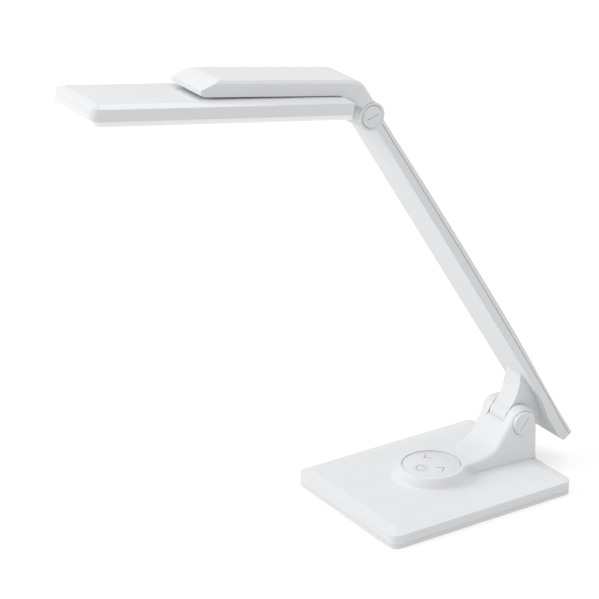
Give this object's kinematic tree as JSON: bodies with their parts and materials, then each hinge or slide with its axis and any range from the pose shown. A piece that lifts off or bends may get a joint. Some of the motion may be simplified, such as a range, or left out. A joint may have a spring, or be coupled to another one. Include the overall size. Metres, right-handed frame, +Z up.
{
  "type": "folding desk lamp",
  "caption": "Folding desk lamp: flat weighted base with touch pod and hinge tower, one flat arm, an elbow bracket and a slim swivelling light panel.",
  "frame": {"origin": "centre of the base's footprint, on the table", "axes": "+Z up, +Y from the centre of the base to the hinge tower, so the lamp's head points to -Y, +X to the side of a person's left hand when they face the light panel's front end"},
  "size_m": [0.14, 0.4558, 0.4053],
  "materials": {
    "shell_paint": "satin off-white enamel",
    "panel_gloss": "glossy off-white",
    "white_plastic": "satin off-white",
    "touch_gloss": "glossy off-white",
    "diffuser_opal": "opal",
    "steel": "zinc plated",
    "ballast": "raw plate",
    "black_rubber": "matt",
    "dark_plastic": "matt black",
    "nylon": "natural nylon",
    "board": "solder mask",
    "aluminium": "mill finish",
    "phosphor": "yellow phosphor"
  },
  "bodies": {
    "base": {"rubber_pad": "black_rubber", "base_tray": "white_plastic", "base_screws": "steel", "ballast_plate": "ballast", "base_cover": "shell_paint", "dc_inlet": "dark_plastic", "tower_housing": "shell_paint", "tower_screws": "steel", "touch_gasket": "dark_plastic", "touch_disc": "touch_gloss", "control_board": "board", "lower_bolt": "steel", "lower_nut": "steel", "lower_caps": "shell_paint"},
    "arm": {"arm_knuckle": "shell_paint", "arm_front_shell": "shell_paint", "arm_rear_cover": "shell_paint", "arm_stiffener": "steel", "arm_screws": "steel", "arm_lead": "dark_plastic", "lower_washers": "nylon", "upper_bolt": "steel", "upper_nut": "steel", "upper_caps": "shell_paint"},
    "bracket": {"bracket_body": "shell_paint", "bracket_cover": "shell_paint", "bracket_screws": "steel", "upper_washers": "nylon", "swivel_bush": "nylon"},
    "panel": {"head_housing": "panel_gloss", "head_frame": "white_plastic", "diffuser": "diffuser_opal", "reflector_tray": "white_plastic", "led_board": "aluminium", "led_chips": "phosphor", "board_screws": "steel", "swivel_spindle": "steel", "swivel_washer": "nylon", "swivel_nut": "steel"}
  },
  "joints": [
    {"name": "arm_tilt", "type": "hinge", "parent": "base", "child": "arm", "pos_m": [0, 0.0755, 0.0483], "axis": [1, 0, 0], "range_deg": [-32.2, 57.8]},
    {"name": "head_tilt", "type": "hinge", "parent": "arm", "child": "bracket", "pos_m": [0, -0.0815, 0.34828], "axis": [1, 0, 0], "range_deg": [-35, 127]},
    {"name": "head_swivel", "type": "hinge", "parent": "bracket", "child": "panel", "pos_m": [0, -0.20882, 0.39005], "axis": [0, 0.1664, 0.9861], "range_deg": [-90, 90]}
  ]
}
